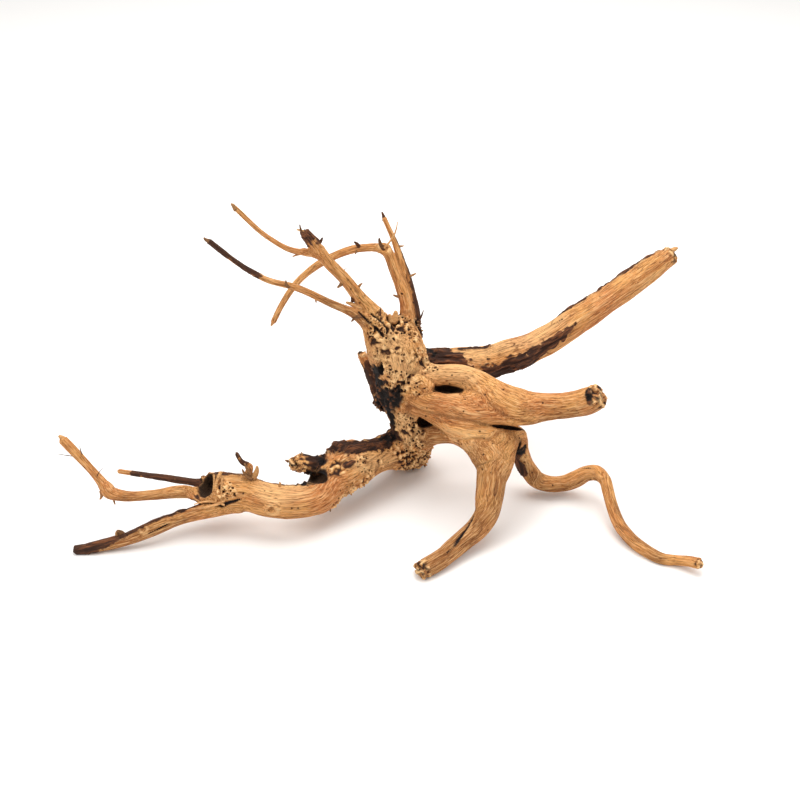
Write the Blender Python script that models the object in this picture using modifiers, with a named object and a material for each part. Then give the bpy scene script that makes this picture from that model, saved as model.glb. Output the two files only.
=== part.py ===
"""Dry root: one grown piece of branching wood, bleached and dry, that stands on its own limbs.

A knobby crown stands on a round burl. Four strands leave the crown's right side, knit together and
part again into a short branch, a front leg and a thin winding leg. A long branch leaves the
crown's back, a thick trunk runs out to the left and ends in a hollow stub and bare rootlets, and
thin twigs rise from the top. The root rests on the burl, the front leg, the winding leg and the
lowest rootlet. Its origin is the bottom centre of its box, +X runs along its length and +Z is up.
"""

import bpy
import bmesh
from mathutils import Vector

NAME = "dry_root"
MM = 0.001

# Driving dimensions, in millimetres.
SKIN_CELL = 1.0         # cell of the grid that fuses the limbs into one skin
SKIN_SMOOTHING = 4      # passes that soften the creases where limbs meet
TRIANGLES = 8000        # size of the finished mesh
FLOOR = 0.6             # height that the feet are worn flat at, above the limbs' lowest points
HOLLOW_DEPTH = 14.0     # the rotted-out end of the trunk
HOLLOW_MOUTH = 7.5
HOLLOW_FLOOR = 3.5

WOOD_COLOUR = (0.55, 0.34, 0.17, 1.0)
WOOD_ROUGHNESS = 0.75

# Every limb is a row of stations along its pith: x, y, z and the limb's radius there, in
# millimetres, from its thick end to its tip. Limbs that meet share the space where they meet.
LIMBS = {
    "crown": [(8, -2, 14, 12), (9, -8, 40, 14), (6, -9, 58, 16), (3, -8, 72, 18), (1, -5, 90, 19),
              (-4, -3, 112, 19), (-9, -2, 126, 12)],
    "upper_strand": [(0, -8, 98, 10), (9, -12, 95, 9), (21, -14, 91, 8), (45, -16, 91, 8),
                     (57, -20, 86, 8.5), (70, -28, 83, 9.5), (85, -38, 83, 11)],
    "middle_strand": [(0, -16, 85, 7), (18, -26, 79, 7), (33, -30, 78, 8), (47, -32, 74, 9),
                      (62, -36, 75, 9), (85, -41, 80, 10)],
    "lower_strand": [(0, -14, 70, 7), (18, -26, 69, 6), (30, -32, 66, 7), (41, -38, 64, 8),
                     (58, -42, 61, 9), (73, -40, 56, 9), (83, -36, 54, 7)],
    "arch_strand": [(11, -13, 30, 10), (20, -22, 43, 8), (28, -30, 50, 6), (39, -38, 56, 6),
                    (49, -44, 56, 8), (58, -50, 52, 10), (65, -56, 46, 13)],
    "inner_web": [(4, -10, 80, 10), (30, -14, 77, 8), (55, -20, 75, 8), (78, -30, 72, 9)],
    "gap_web": [(43, -26, 82, 3.5), (52, -29, 81, 6), (64, -34, 80, 8)],
    "crease_web": [(8, -20, 90, 8), (19, -24, 87, 5.5), (24, -25, 86, 3)],
    "lower_web": [(8, -8, 52, 9), (24, -12, 50, 8), (42, -24, 52, 8), (56, -36, 54, 8)],
    "right_branch": [(70, -34, 79, 12), (85, -40, 82, 12), (98, -46, 87, 9.5), (112, -52, 92, 8.5),
                     (127, -59, 101, 9), (133, -62, 107, 8)],
    "back_branch": [(4, 8, 89, 12), (23, 18, 81, 10), (47, 22, 78, 11), (66, 26, 76, 12),
                    (82, 30, 79, 12), (106, 38, 86, 11), (130, 46, 99, 10.5), (158, 56, 115, 9.5),
                    (182, 64, 130, 8), (200, 71, 141, 6.5)],
    "front_leg": [(68, -46, 52, 14), (66, -56, 46, 13), (64, -66, 38, 10.5), (62, -75, 28, 9.5),
                  (60, -82, 22, 8.5), (55, -87, 16, 8), (41, -99, 10, 7), (28, -112, 7, 6.6),
                  (13, -123, 5.6, 6.2)],
    "winding_leg": [(80, -36, 56, 8), (84, -34, 48, 7), (87, -31, 37, 5.5), (93, -31, 20, 6),
                    (100, -33, 12, 6), (109, -35, 10, 6), (119, -34, 10, 6), (127, -34, 14, 6),
                    (135, -35, 20, 5.5), (141, -37, 22, 5.5), (146, -43, 21, 4.5), (148, -52, 17, 4.5),
                    (150, -65, 12, 4.5), (154, -80, 8, 4.7), (162, -93, 5, 4.7), (171, -102, 3.8, 4.3),
                    (178, -107, 3.3, 4), (188, -110, 4.6, 3.6), (196, -114, 7, 3.7), (202, -119, 9, 3.8)],
    "trunk": [(4, -9, 24, 16), (-11, -20, 27, 12.5), (-31, -38, 30, 15), (-46, -51, 28, 15.5),
              (-58, -67, 25, 12), (-76, -75, 26, 11), (-90, -74, 27, 11.5), (-104, -69, 28, 11.5),
              (-118, -68, 29, 12.5), (-136, -64, 32, 10)],
    "low_rootlet": [(-112, -72, 25, 8), (-134, -78, 21, 5.5), (-152, -81, 17, 5), (-171, -87, 12, 5),
                    (-186, -92, 8, 4.2), (-209, -96, 4, 3.8), (-223, -98, 2.5, 3.1)],
    "long_rootlet": [(-126, -71, 27, 7), (-136, -71, 31, 5), (-151, -72, 33, 4.3), (-170, -78, 35, 3.7),
                     (-189, -81, 37, 3.6), (-197, -82, 41, 4.4), (-202, -80, 49, 3.5),
                     (-218, -74, 69, 3.2), (-226, -71, 78, 3)],
    "thin_rootlet": [(-124, -60, 26, 6), (-138, -58, 29, 3.2), (-161, -56, 32, 2.4), (-198, -50, 34, 1.9)],
    "trunk_spur": [(-103, -66, 36, 4), (-104, -64, 43, 2.8), (-103, -62, 47, 2.2), (-108, -62, 51, 1.7),
                   (-112, -60, 58, 1.4)],
    "trunk_stub": [(-46, -44, 26, 8), (-58, -48, 37, 6.5), (-70, -54, 44, 6), (-75, -56, 45, 5)],
    "trunk_knob": [(-34, -34, 34, 12), (-47, -40, 42, 6.5)],
    "black_stub": [(-6, 2, 60, 11), (-10, 10, 57, 9.5), (-18, 16, 66, 4.8), (-23, 20, 76, 4),
                   (-28, 23, 86, 3.6)],
    "left_twig": [(-6, -6, 100, 13), (-13, -8, 118, 12), (-20, -11, 131, 7), (-28, -15, 140, 4.3),
                  (-47, -21, 154, 2.8), (-68, -27, 169, 2.3), (-86, -31, 177, 2), (-99, -34, 187, 1.8),
                  (-121, -40, 211, 1.5)],
    "broken_twig": [(-11, -4, 124, 7.6), (-20, -6, 139, 6), (-28, -9, 152, 4.9), (-36, -12, 166, 4.2),
                    (-46, -15, 180, 4), (-57, -19, 199, 3.5), (-62, -21, 207, 3)],
    "forked_twig": [(-51, -17, 189, 3), (-61, -18, 190, 2.2), (-69, -19, 192, 2), (-84, -24, 204, 1.8),
                    (-104, -30, 229, 1.6)],
    "bowed_twig": [(5, 2, 116, 6.5), (4, 8, 137, 4.5), (-3, 16, 156, 3.9), (-10, 22, 170, 3.8),
                   (-27, 27, 169, 2.9), (-46, 32, 160, 2.7), (-70, 38, 139, 2.4), (-86, 43, 113, 2.1),
                   (-93, 46, 97, 2)],
    "straight_twig": [(10, 8, 111, 4), (11, 10, 122, 3.3), (5, 19, 151, 2.8), (-2, 26, 171, 2.2),
                      (-11, 32, 191, 1.7)],
}

# The burl under the crown is a clump of round swellings: x, y, z and radius, in millimetres.
BURL = [(6, 3, 16.5, 16.5), (14, 0, 21, 14)]


def start_empty():
    """Remove every object of the open scene."""
    for thing in list(bpy.data.objects):
        bpy.data.objects.remove(thing, do_unlink=True)


def add_collection(name):
    """A new collection, linked to the scene."""
    group = bpy.data.collections.new(name)
    bpy.context.scene.collection.children.link(group)
    return group


def wood_material():
    """Bare dry wood."""
    wood = bpy.data.materials.new("dry_wood")
    wood.use_nodes = True
    shader = wood.node_tree.nodes["Principled BSDF"]
    shader.inputs["Base Color"].default_value = WOOD_COLOUR
    shader.inputs["Roughness"].default_value = WOOD_ROUGHNESS
    shader.inputs["Metallic"].default_value = 0.0
    return wood


def limb_curve(name, stations, group):
    """A tapering round limb: a smooth curve through the stations, capped at both ends."""
    data = bpy.data.curves.new(name, "CURVE")
    data.dimensions = "3D"
    data.resolution_u = 6
    data.bevel_depth = MM
    data.bevel_resolution = 3
    data.use_fill_caps = True
    spline = data.splines.new("BEZIER")
    spline.bezier_points.add(len(stations) - 1)
    for point, (x, y, z, radius) in zip(spline.bezier_points, stations):
        point.co = Vector((x, y, z)) * MM
        point.radius = radius
        point.handle_left_type = "AUTO"
        point.handle_right_type = "AUTO"
    limb = bpy.data.objects.new(name, data)
    group.objects.link(limb)
    return limb


def swelling(name, place, radius, group):
    """A ball of wood."""
    shape = bmesh.new()
    bmesh.ops.create_uvsphere(shape, u_segments=24, v_segments=16, radius=radius * MM)
    bmesh.ops.translate(shape, verts=shape.verts, vec=Vector(place) * MM)
    mesh = bpy.data.meshes.new(name)
    shape.to_mesh(mesh)
    shape.free()
    ball = bpy.data.objects.new(name, mesh)
    group.objects.link(ball)
    return ball


def as_mesh(thing):
    """The evaluated shape of a curve or a modified object, as a closed mesh; the object goes."""
    bpy.context.view_layer.update()
    evaluated = thing.evaluated_get(bpy.context.evaluated_depsgraph_get())
    mesh = bpy.data.meshes.new_from_object(evaluated)
    mesh.transform(thing.matrix_world)
    bpy.data.objects.remove(thing, do_unlink=True)
    shape = bmesh.new()
    shape.from_mesh(mesh)
    bmesh.ops.remove_doubles(shape, verts=shape.verts, dist=0.01 * MM)
    shape.to_mesh(mesh)
    shape.free()
    return mesh


def heap(name, meshes, group):
    """One object that holds several closed meshes side by side."""
    together = bmesh.new()
    for mesh in meshes:
        together.from_mesh(mesh)
        bpy.data.meshes.remove(mesh)
    mesh = bpy.data.meshes.new(name)
    together.to_mesh(mesh)
    together.free()
    thing = bpy.data.objects.new(name, mesh)
    group.objects.link(thing)
    return thing


def fuse(thing):
    """Grow the limbs together into one skin, soften its creases and thin its mesh."""
    skin = thing.modifiers.new("one_skin", "REMESH")
    skin.mode = "VOXEL"
    skin.voxel_size = SKIN_CELL * MM
    soft = thing.modifiers.new("soft_creases", "SMOOTH")
    soft.factor = 0.5
    soft.iterations = SKIN_SMOOTHING
    bpy.context.view_layer.update()
    fine = thing.evaluated_get(bpy.context.evaluated_depsgraph_get())
    faces = sum(len(polygon.vertices) - 2 for polygon in fine.data.polygons)
    thin = thing.modifiers.new("fewer_faces", "DECIMATE")
    thin.ratio = TRIANGLES / faces
    thin.use_collapse_triangulate = True


def floor_cutter(group):
    """A block whose top is the surface that the root stands on."""
    side = 800.0
    bpy.ops.mesh.primitive_cube_add(size=side * MM, location=(0, 0, (FLOOR - side / 2) * MM))
    block = bpy.context.object
    block.name = "floor_cutter"
    move_to(block, group)
    return block


def hollow_cutter(group):
    """A blunt cone along the trunk's last stretch, for its rotted-out end."""
    inner, outer = (Vector(station[:3]) for station in LIMBS["trunk"][-2:])
    way_out = (outer - inner).normalized() + Vector((0, 0, 0.35))
    way_out.normalize()
    reach = 10.0
    bpy.ops.mesh.primitive_cone_add(
        vertices=20, radius1=HOLLOW_FLOOR * MM, radius2=HOLLOW_MOUTH * MM,
        depth=(HOLLOW_DEPTH + reach) * MM,
        location=(outer + way_out * (reach - HOLLOW_DEPTH) / 2) * MM,
        rotation=way_out.to_track_quat("Z", "Y").to_euler())
    cone = bpy.context.object
    cone.name = "hollow_cutter"
    move_to(cone, group)
    return cone


def move_to(thing, group):
    """Put an object in one collection, as a guide that isn't part of the root."""
    for owner in list(thing.users_collection):
        owner.objects.unlink(thing)
    group.objects.link(thing)
    thing.hide_render = True
    thing.display_type = "WIRE"


def cut(thing, cutter):
    """Take the cutter's shape away."""
    step = thing.modifiers.new("less_" + cutter.name, "BOOLEAN")
    step.operation = "DIFFERENCE"
    step.solver = "EXACT"
    step.object = cutter


def stand_at_origin(mesh):
    """Move the mesh so that its box's bottom centre is the origin."""
    places = [vertex.co for vertex in mesh.vertices]
    low = Vector([min(place[axis] for place in places) for axis in range(3)])
    high = Vector([max(place[axis] for place in places) for axis in range(3)])
    for vertex in mesh.vertices:
        vertex.co -= Vector(((low.x + high.x) / 2, (low.y + high.y) / 2, low.z))


start_empty()
parts = add_collection("dry_root_parts")
cutters = add_collection("cutters")
limbs = [as_mesh(limb_curve(name, stations, parts)) for name, stations in LIMBS.items()]
balls = [as_mesh(swelling("burl", place, radius, parts)) for *place, radius in BURL]
growth = heap("growth", limbs + balls, parts)
fuse(growth)
cut(growth, hollow_cutter(cutters))
cut(growth, floor_cutter(cutters))
solid = as_mesh(growth)
stand_at_origin(solid)
solid.name = NAME
solid.materials.clear()
solid.materials.append(wood_material())
root = bpy.data.objects.new(NAME, solid)
parts.objects.link(root)
solid.shade_smooth()
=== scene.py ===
import math
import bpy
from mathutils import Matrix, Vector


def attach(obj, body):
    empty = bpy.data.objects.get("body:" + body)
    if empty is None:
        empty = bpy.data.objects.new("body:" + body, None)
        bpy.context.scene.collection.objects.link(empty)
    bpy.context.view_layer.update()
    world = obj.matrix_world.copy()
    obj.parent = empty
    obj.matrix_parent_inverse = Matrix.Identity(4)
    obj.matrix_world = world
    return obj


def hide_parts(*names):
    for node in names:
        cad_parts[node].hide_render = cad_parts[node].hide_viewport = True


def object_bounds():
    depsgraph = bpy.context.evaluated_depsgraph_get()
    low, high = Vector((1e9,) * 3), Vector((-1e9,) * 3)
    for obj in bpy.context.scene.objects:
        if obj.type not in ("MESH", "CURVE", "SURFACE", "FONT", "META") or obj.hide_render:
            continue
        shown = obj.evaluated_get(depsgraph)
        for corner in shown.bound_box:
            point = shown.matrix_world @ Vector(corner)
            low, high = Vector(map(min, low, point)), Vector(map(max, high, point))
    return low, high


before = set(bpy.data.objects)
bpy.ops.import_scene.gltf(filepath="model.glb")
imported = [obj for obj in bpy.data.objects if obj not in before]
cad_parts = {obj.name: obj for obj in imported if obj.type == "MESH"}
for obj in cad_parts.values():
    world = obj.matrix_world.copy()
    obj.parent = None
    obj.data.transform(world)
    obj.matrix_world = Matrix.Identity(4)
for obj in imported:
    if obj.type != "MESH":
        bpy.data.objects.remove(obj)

from types import SimpleNamespace

import bpy
import numpy as np
from mathutils import Vector

cad_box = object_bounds()

# ---- The grown form ----------------------------------------------------------------------------
# One piece of root wood that has dried and lost nearly all its bark. It was never shaped: a crown
# on a round burl, strands that knit and part again, limbs that taper and break off. It is worked
# out in millimetres in the growth's own frame, and stands in the CAD box at the end.

FLOOR = 0.6             # the height, in that frame, of what the root stands on
PATH_STEP = 1.5         # spacing of the read points along a pith
KNITTING = 1.7          # how softly limbs grow into each other
SEAM = 0.6              # how softly the grain of one limb gives way to the next
REACH = 8.0             # how far outside its own skin a limb still shapes the form
RAGGED = 6.5            # how much a thick limb's broken end is uneven, from low to high
RAGGED_SPACING = 3.2    # spacing of the teeth of a broken end
THICK_END = 7.0         # radius from which an end is broken as unevenly as that
FORM_CELL = 0.9         # cell of the grid that fuses the limbs
NUDGES = 2              # passes that draw the fused skin onto the limbs' round shape
BLOCK = 40000           # points that are measured at once
SKIN_CELL = 0.5     # cell of the finished skin, under its relief
SKIN_TRIANGLES = 196000

# Each limb is a row of stations along its pith: x, y, z and radius.
LIMBS = {
    "crown": [(8, -2, 14, 12), (9, -8, 40, 14), (6, -9, 58, 16), (3, -8, 72, 18), (1, -5, 90, 19),
              (-4, -3, 112, 19), (-9, -2, 126, 12)],
    "burl": [(6, 3, 0.6, 8), (6, 3, 4, 12.5), (7, 3, 10, 15.5), (8, 2, 18, 16.5), (11, 1, 26, 15),
             (12, -1, 34, 12)],
    "branch_strand": [(0, -8, 98, 10), (9, -12, 95, 9), (21, -14, 91, 8), (45, -16, 91, 8),
                      (57, -21, 86, 9), (70, -31, 82, 11.5), (85, -40, 82, 12), (98, -46, 87, 9.5),
                      (112, -52, 92, 8.5), (127, -59, 101, 9), (133, -62, 107, 8)],
    "middle_strand": [(0, -16, 85, 7), (18, -26, 79, 7), (33, -30, 78, 8), (47, -32, 74, 9),
                      (62, -36, 75, 9), (85, -41, 80, 10), (104, -49, 87, 6)],
    "winding_leg": [(0, -14, 70, 7), (18, -26, 69, 6), (30, -32, 66, 7), (41, -38, 64, 8),
                    (58, -42, 61, 9), (73, -40, 56, 9), (81, -36, 53, 8), (84, -34, 47, 7),
                    (87, -31, 37, 5.5), (93, -31, 20, 6), (100, -33, 12, 6), (109, -35, 10, 6),
                    (119, -34, 10, 6), (127, -34, 14, 6), (135, -35, 20, 5.5), (141, -37, 22, 5.5),
                    (146, -43, 21, 4.5), (148, -52, 17, 4.5), (150, -65, 12, 4.5), (154, -80, 8, 4.7),
                    (162, -93, 5, 4.7), (171, -102, 3.8, 4.3), (178, -107, 3.3, 4),
                    (188, -110, 4.6, 3.6), (196, -114, 7, 3.7), (202, -119, 9, 3.8)],
    "front_leg": [(11, -13, 30, 10), (20, -22, 43, 8), (28, -30, 50, 6), (39, -38, 56, 6),
                  (49, -44, 56, 8), (58, -50, 52, 11), (65, -56, 46, 13), (64, -66, 38, 10.5),
                  (62, -75, 28, 9.5), (60, -82, 22, 8.5), (55, -87, 16, 8), (41, -99, 10, 7),
                  (28, -112, 7, 6.6), (13, -123, 5.6, 6.2)],
    "inner_web": [(4, -10, 80, 10), (30, -14, 77, 8), (55, -20, 75, 8), (78, -30, 72, 9)],
    "gap_web": [(43, -26, 82, 3.5), (52, -29, 81, 6), (64, -34, 80, 8)],
    "crease_web": [(8, -20, 90, 8), (19, -24, 87, 5.5), (24, -25, 86, 3)],
    "lower_web": [(8, -8, 52, 9), (24, -12, 50, 8), (42, -24, 52, 8), (56, -36, 54, 8)],
    "lobe": [(58, -42, 58, 9), (68, -46, 52, 14), (66, -56, 46, 12)],
    "back_branch": [(4, 8, 89, 12), (23, 18, 81, 10), (47, 22, 78, 11), (66, 26, 76, 12),
                    (82, 30, 79, 12), (106, 38, 86, 11), (130, 46, 99, 10.5), (158, 56, 115, 9.5),
                    (182, 64, 130, 8), (200, 71, 141, 6.5)],
    "trunk": [(4, -9, 24, 16), (-11, -20, 27, 12.5), (-31, -38, 30, 15), (-46, -51, 28, 15.5),
              (-58, -67, 25, 12), (-76, -75, 26, 11), (-90, -74, 27, 11.5), (-104, -69, 28, 11.5),
              (-118, -68, 29, 12.5), (-136, -64, 32, 10)],
    "low_rootlet": [(-112, -72, 25, 8), (-134, -78, 21, 5.5), (-152, -81, 17, 5), (-171, -87, 12, 5),
                    (-186, -92, 8, 4.2), (-209, -96, 4, 3.8), (-223, -98, 2.5, 3.1)],
    "long_rootlet": [(-126, -71, 27, 7), (-136, -71, 31, 5), (-151, -72, 33, 4.3), (-170, -78, 35, 3.7),
                     (-189, -81, 37, 3.6), (-197, -82, 41, 4.4), (-202, -80, 49, 3.5),
                     (-218, -74, 69, 3.2), (-226, -71, 78, 3)],
    "thin_rootlet": [(-124, -60, 26, 6), (-138, -58, 29, 3.2), (-161, -56, 32, 2.4),
                     (-198, -50, 34, 1.9)],
    "trunk_spur": [(-103, -66, 36, 4), (-104, -64, 43, 2.8), (-103, -62, 47, 2.2), (-108, -62, 51, 1.7),
                   (-112, -60, 58, 1.4)],
    "trunk_stub": [(-46, -44, 26, 8), (-58, -48, 37, 6.5), (-70, -54, 44, 6), (-75, -56, 45, 5)],
    "trunk_knob": [(-34, -34, 34, 12), (-47, -40, 42, 6.5)],
    "black_stub": [(-6, 2, 60, 11), (-10, 10, 57, 9.5), (-18, 16, 66, 4.8), (-23, 20, 76, 4),
                   (-28, 23, 86, 3.6)],
    "left_twig": [(-6, -6, 100, 13), (-13, -8, 118, 12), (-20, -11, 131, 7), (-28, -15, 140, 4.3),
                  (-47, -21, 154, 2.8), (-68, -27, 169, 2.3), (-86, -31, 177, 2), (-99, -34, 187, 1.8),
                  (-121, -40, 211, 1.5)],
    "broken_twig": [(-11, -4, 124, 7.6), (-20, -6, 139, 6), (-28, -9, 152, 4.9), (-36, -12, 166, 4.2),
                    (-46, -15, 180, 4), (-57, -19, 199, 3.5), (-62, -21, 207, 3)],
    "forked_twig": [(-51, -17, 189, 3), (-61, -18, 190, 2.2), (-69, -19, 192, 2), (-84, -24, 204, 1.8),
                    (-104, -30, 229, 1.6)],
    "bowed_twig": [(5, 2, 116, 6.5), (4, 8, 137, 4.5), (-3, 16, 156, 3.9), (-10, 22, 170, 3.8),
                   (-27, 27, 169, 2.9), (-46, 32, 160, 2.7), (-70, 38, 139, 2.4), (-86, 43, 113, 2.1),
                   (-93, 46, 97, 2)],
    "straight_twig": [(10, 8, 111, 4), (11, 10, 122, 3.3), (5, 19, 151, 2.8), (-2, 26, 171, 2.2),
                      (-11, 32, 191, 1.7)],
}

# The direction that a limb's grain is measured across from; a limb never runs along its own.
ACROSS = {"front_leg": (0, 0, 1), "lobe": (0, 0, 1), "winding_leg": (-0.6, 0.3, 0.7)}


def unit(vectors):
    """The vectors at length 1."""
    return vectors / np.maximum(np.linalg.norm(vectors, axis=-1, keepdims=True), 1e-9)


def smooth_path(stations, step):
    """A curve through the stations, read every step: between two stations it is the cubic that
    leaves each along the mean of the chords on its two sides, weighed by the other's length."""
    stations = np.array(stations, float)
    chord = np.linalg.norm(np.diff(stations[:, :3], axis=0), axis=1)[:, None]
    slope = np.diff(stations, axis=0) / chord
    inner = (slope[:-1] * chord[1:] + slope[1:] * chord[:-1]) / (chord[1:] + chord[:-1])
    slope = np.vstack([slope[:1], inner, slope[-1:]])
    knots = np.concatenate([[0.0], np.cumsum(chord)])
    along = np.linspace(0.0, knots[-1], max(2, int(knots[-1] / step) + 1))
    span = np.clip(np.searchsorted(knots, along, side="right") - 1, 0, len(chord) - 1)
    run = chord[span]
    t = (along - knots[span])[:, None] / run
    return ((2 * t**3 - 3 * t**2 + 1) * stations[span] + (t**3 - 2 * t**2 + t) * run * slope[span]
            + (3 * t**2 - 2 * t**3) * stations[span + 1] + (t**3 - t**2) * run * slope[span + 1])


random = np.random.default_rng(11)
LATTICE = random.random((32, 32, 32))
DOTS = random.uniform(0.12, 0.88, (32, 32, 32, 3))


def noise(points, size=1.0, shift=0.0):
    """Smooth noise from 0 to 1: random values on a lattice of that size, eased between the eight
    corners round each point by 3t² - 2t³."""
    place = points / np.array(size, float) + shift
    corner = np.floor(place).astype(int)
    t = place - corner
    t = t * t * (3 - 2 * t)
    (x, y, z), (u, v, w) = corner.T % 32, (corner.T + 1) % 32
    tx, ty, tz = t.T
    front = (LATTICE[x, y, z] * (1 - tx) + LATTICE[u, y, z] * tx) * (1 - ty) \
        + (LATTICE[x, v, z] * (1 - tx) + LATTICE[u, v, z] * tx) * ty
    back = (LATTICE[x, y, w] * (1 - tx) + LATTICE[u, y, w] * tx) * (1 - ty) \
        + (LATTICE[x, v, w] * (1 - tx) + LATTICE[u, v, w] * tx) * ty
    return front * (1 - tz) + back * tz


def cells(points, size, shift=0.0):
    """One random dot in each cube of that size: the distance to the nearest dot, in the same
    units, and that dot's own random number."""
    place = points / size + shift
    corner = np.floor(place)
    gap = np.full(len(points), 9.0)
    own = np.zeros(len(points))
    for step in np.ndindex(3, 3, 3):
        cube = corner + step - 1
        x, y, z = cube.astype(int).T % 32
        far = np.linalg.norm(cube + DOTS[x, y, z] - place, axis=1)
        closer = far < gap
        gap = np.where(closer, far, gap)
        own = np.where(closer, LATTICE[z, x, y], own)
    return gap * size, own


def ease(values, low, high):
    """0 below low, 1 above high, and 3t² - 2t³ between; low may be the higher one."""
    t = np.clip((values - low) / (high - low), 0, 1)
    return t * t * (3 - 2 * t)


def grow_limb(stations, across=(0, 1, 0)):
    """A limb's pith, radius and frame at each read point: the way along, the given direction less
    its part along the limb, and the third direction square to both."""
    path = smooth_path(stations, PATH_STEP)
    pith = path[:, :3]
    tangent = unit(np.gradient(pith, axis=0))
    across = np.array(across, float)
    side = unit(across - (tangent @ across)[:, None] * tangent)
    steps = np.linalg.norm(np.diff(pith, axis=0), axis=1)
    return SimpleNamespace(pith=pith, radius=path[:, 3], tangent=tangent, side=side,
                           up=np.cross(tangent, side), swell=np.gradient(path[:, 3]) / PATH_STEP,
                           travelled=np.concatenate([[0.0], np.cumsum(steps)]))


def limb_skin(limb, around=16):
    """A round skin: angle by read point, each ring a circle of the limb's radius square to the
    pith; the first and last rings shrink to a pinhole, which the fusing closes."""
    pinhole = 0.01
    turn = np.linspace(0, 2 * math.pi, around, endpoint=False)[None, :, None]
    ring = np.cos(turn) * limb.side[:, None] + np.sin(turn) * limb.up[:, None]
    share = np.ones(len(limb.pith))
    share[[0, -1]] = pinhole
    points = limb.pith[:, None] + ring * (limb.radius * share)[:, None, None]
    row = np.arange(len(limb.pith) - 1)[:, None] * around
    here = row + np.arange(around)
    after = row + (np.arange(around) + 1) % around
    faces = np.stack([here, after, after + around, here + around], axis=-1)
    return points.reshape(-1, 3), faces.reshape(-1, 4)


def measure(points, limb):
    """For each point, from the nearest read point: how far it is outside the limb's skin, the way
    out, its place in the limb's grain (along the pith, and the two offsets from it), and the
    limb's radius there. Past a limb's end the distance to its uneven break counts instead."""
    nearest = np.empty(len(points), int)
    for start in range(0, len(points), BLOCK):
        some = points[start:start + BLOCK]
        nearest[start:start + BLOCK] = ((limb.pith**2).sum(1) - 2 * some @ limb.pith.T).argmin(1)
    offset = points - limb.pith[nearest]
    tangent = limb.tangent[nearest]
    along = (offset * tangent).sum(1)
    aside = offset - along[:, None] * tangent
    radius = limb.radius[nearest] + limb.swell[nearest] * np.clip(along, -PATH_STEP, PATH_STEP)
    outside = np.linalg.norm(aside, axis=1) - radius
    out = unit(aside)
    beyond = np.where(nearest == 0, -along, np.where(nearest == len(limb.pith) - 1, along, -99.0))
    torn = np.flatnonzero(beyond > -RAGGED)
    uneven = RAGGED * np.clip(radius[torn] / THICK_END, 0.3, 1)
    beyond[torn] += uneven * (noise(aside[torn], RAGGED_SPACING, 5.1) - 0.5)
    at_end = beyond > outside
    outside = np.where(at_end, beyond, outside)
    out = np.where(at_end[:, None], np.where(nearest == 0, -1.0, 1.0)[:, None] * tangent, out)
    grain = np.stack([limb.travelled[nearest] + along, (offset * limb.side[nearest]).sum(1),
                      (offset * limb.up[nearest]).sum(1)], axis=1)
    return outside, out, grain, radius


def read_form(points):
    """The soft minimum of the distances to all limbs: minus k times the log of the sum of
    exp(-distance / k). The way out is blended by the same weights, and the grain and the radius by
    those of a smaller k. Far distances are clipped, to keep the weights in range."""
    near_sum = np.full(len(points), 1e-12)
    seam_sum = np.full(len(points), 1e-30)
    out = np.zeros((len(points), 3))
    grain = np.zeros((len(points), 3))
    thick = np.zeros(len(points))
    for limb in limbs:
        reach = limb.radius.max() + REACH
        close = ((points > limb.pith.min(0) - reach) & (points < limb.pith.max(0) + reach)).all(1)
        outside, way, place, radius = measure(points[close], limb)
        weight = np.exp(-np.clip(outside, -25, 30) / KNITTING)
        seam = np.exp(-np.clip(outside, -25, 30) / SEAM)
        near_sum[close] += weight
        seam_sum[close] += seam
        out[close] += weight[:, None] * way
        grain[close] += seam[:, None] * place
        thick[close] += seam * radius
    distance = -KNITTING * np.log(near_sum)
    return distance, unit(out), grain / seam_sum[:, None], thick / seam_sum


def new_mesh(name, points, faces):
    """A mesh from an array of points and a list of faces."""
    mesh = bpy.data.meshes.new(name)
    mesh.from_pydata(points.tolist(), [], faces)
    mesh.update()
    return mesh


def show(mesh):
    """An object that shows the mesh in the scene, under the mesh's name."""
    thing = bpy.data.objects.new(mesh.name, mesh)
    bpy.context.scene.collection.objects.link(thing)
    return thing


def finished(mesh, kind, **settings):
    """The mesh after one modifier, as a new mesh; the old one goes."""
    carrier = show(mesh)
    step = carrier.modifiers.new("step", kind)
    for name, value in settings.items():
        setattr(step, name, value)
    bpy.context.view_layer.update()
    done = bpy.data.meshes.new_from_object(carrier.evaluated_get(bpy.context.evaluated_depsgraph_get()))
    bpy.data.objects.remove(carrier)
    bpy.data.meshes.remove(mesh)
    return done


def points_of(mesh, what="vertices", field="co"):
    """A mesh's points, or another of their fields, as an array with a row for each point."""
    values = np.empty(len(mesh.vertices) * 3, np.float32)
    getattr(mesh, what).foreach_get(field, values)
    return values.reshape(-1, 3).astype(float)


limbs = [grow_limb(stations, ACROSS.get(name, (0, 1, 0))) for name, stations in LIMBS.items()]
skins = [limb_skin(limb) for limb in limbs]
starts = np.cumsum([0] + [len(points) for points, faces in skins])
form = new_mesh("form", np.vstack([points for points, faces in skins]),
                np.vstack([faces + start for (points, faces), start in zip(skins, starts)]).tolist())
form = finished(form, "REMESH", mode="VOXEL", voxel_size=FORM_CELL)
skin = points_of(form)
for nudge in range(NUDGES):
    distance, out, _, thick = read_form(skin)
    skin -= distance[:, None] * out

# ---- Swellings, knots and hollows ----------------------------------------------------------------
# Slow growth leaves wood uneven: soft swellings all over, knots where rootlets died, and hollows
# where the heart has rotted out or where two strands never closed. They are in the form itself.

LUMPS = ((19.0, 1.0), (8.5, 0.35))      # spacing and height of the swellings
LONG_MOUTH = 2.5        # a mouth longer than this many widths has pointed ends
NEAR_MOUTH = (9.0, 7.0)     # skin further than the first from a mouth's plane stays where it is
NEAR_BREAK = (11.0, 9.0)    # the same, for skin that stands proud of a break

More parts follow.
